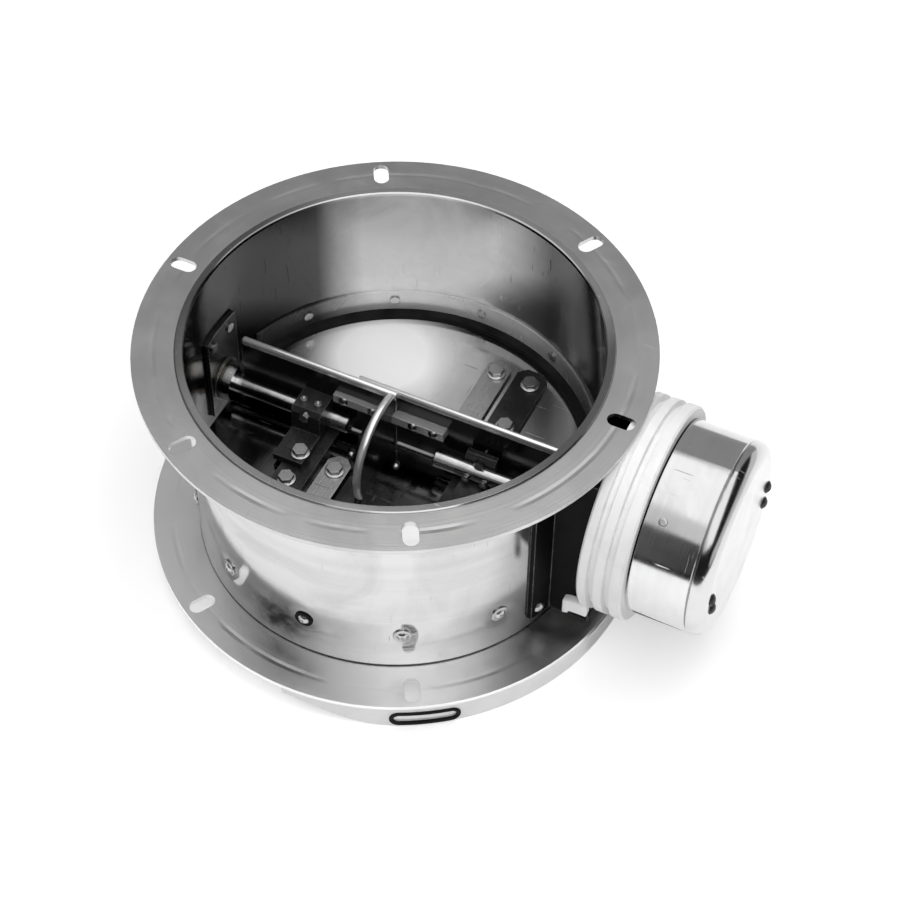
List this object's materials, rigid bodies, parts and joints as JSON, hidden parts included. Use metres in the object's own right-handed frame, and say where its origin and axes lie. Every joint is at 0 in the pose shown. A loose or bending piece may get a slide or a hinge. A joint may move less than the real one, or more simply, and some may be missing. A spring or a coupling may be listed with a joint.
{
  "type": "motorized butterfly damper",
  "caption": "Round flanged duct damper whose braced blade turns on half shafts against rubber seats, driven by a geared motor in a round housing at its side.",
  "frame": {"origin": "on the duct's axis, in the outer face of the bottom flange", "axes": "+Z along the duct towards the top flange, +X along the blade's shaft towards the actuator, +Y towards the blade half that swings down"},
  "size_m": [0.3821, 0.312, 0.1727],
  "materials": {
    "tube_steel": "polished",
    "flange_steel": "satin",
    "apron_steel": "smooth white paint",
    "bracket_steel": "satin",
    "bush_bronze": "turned",
    "bearing_metal": "cast and machined",
    "band_steel": "polished",
    "seal_rubber": "matt",
    "rivet_steel": "plain",
    "blade_steel": "polished",
    "strap_steel": "dark",
    "stiffener_steel": "satin",
    "bolt_steel": "zinc plated",
    "clamp_steel": "dark",
    "web_steel": "polished",
    "splice_steel": "bright",
    "shaft_steel": "ground",
    "console_black": "black paint",
    "base_white": "cast with white coating",
    "inlet_black": "matt",
    "cover_metal": "polished",
    "lid_metal": "smooth",
    "lid_screw_black": "dark",
    "gear_steel": "cut",
    "gear_brass": "cut",
    "plate_steel": "zinc plated",
    "motor_steel": "zinc plated",
    "cam_plastic": "moulded",
    "switch_plastic": "moulded",
    "block_plastic": "moulded",
    "terminal_brass": "plain",
    "capacitor_metal": "drawn"
  },
  "bodies": {
    "housing": {"actuator_console": "console_black", "base_bush": "bush_bronze", "base_screws": "bolt_steel", "bearing_cap": "bearing_metal", "bearing_housing": "bearing_metal", "bottom_flange": "flange_steel", "bracket_rivets": "rivet_steel", "cable_inlet": "inlet_black", "console_rivets": "rivet_steel", "duct_tube": "tube_steel", "end_lid": "lid_metal", "gear_plate": "plate_steel", "gearbox_base": "base_white", "idler_pin": "shaft_steel", "left_bearing_bracket": "bracket_steel", "left_bush": "bush_bronze", "lid_plugs": "lid_screw_black", "lid_screws": "lid_screw_black", "limit_switches": "switch_plastic", "lower_seat_band": "band_steel", "lower_seat_seal": "seal_rubber", "motor_body": "motor_steel", "motor_capacitor": "capacitor_metal", "motor_cover": "cover_metal", "right_bearing_bracket": "bracket_steel", "right_bush": "bush_bronze", "seat_rivets": "rivet_steel", "support_apron": "apron_steel", "terminal_block": "block_plastic", "terminal_screws": "terminal_brass", "top_flange": "flange_steel", "upper_seat_band": "band_steel", "upper_seat_seal": "seal_rubber"},
    "blade": {"blade_disc": "blade_steel", "blade_rivets": "rivet_steel", "left_strap": "strap_steel", "right_strap": "strap_steel", "left_stiffener": "stiffener_steel", "right_stiffener": "stiffener_steel", "strap_bolts": "bolt_steel", "left_shaft_clamp": "clamp_steel", "right_shaft_clamp": "clamp_steel", "clamp_tie_bolts": "bolt_steel", "clamp_set_screws": "bolt_steel", "web_left": "web_steel", "web_right": "web_steel", "splice_bar": "splice_steel", "splice_screws": "bolt_steel", "brace_quadrant": "web_steel", "left_half_shaft": "shaft_steel", "right_half_shaft": "shaft_steel", "left_collar": "shaft_steel", "right_collar": "shaft_steel", "output_gear": "gear_steel", "limit_cams": "cam_plastic"},
    "idler": {"idler_gear": "gear_brass"},
    "pinion": {"motor_pinion": "gear_brass"}
  },
  "joints": [
    {"name": "blade_turn", "type": "hinge", "parent": "housing", "child": "blade", "pos_m": [0, 0, 0.062], "axis": [-1, 0, 0], "range_deg": [0, 90]},
    {"name": "idler_turn", "type": "hinge", "parent": "housing", "child": "idler", "pos_m": [0.165, 0.02484, 0.08521], "axis": [-1, 0, 0], "range_deg": [-422, 2]},
    {"name": "pinion_turn", "type": "hinge", "parent": "housing", "child": "pinion", "pos_m": [0.165, 0, 0.088], "axis": [-1, 0, 0], "range_deg": [-2, 1332]}
  ],
  "couplings": [
    {"joint": "idler_turn", "follows": "blade_turn", "ratio": -4.6667},
    {"joint": "pinion_turn", "follows": "blade_turn", "ratio": 14.778}
  ]
}
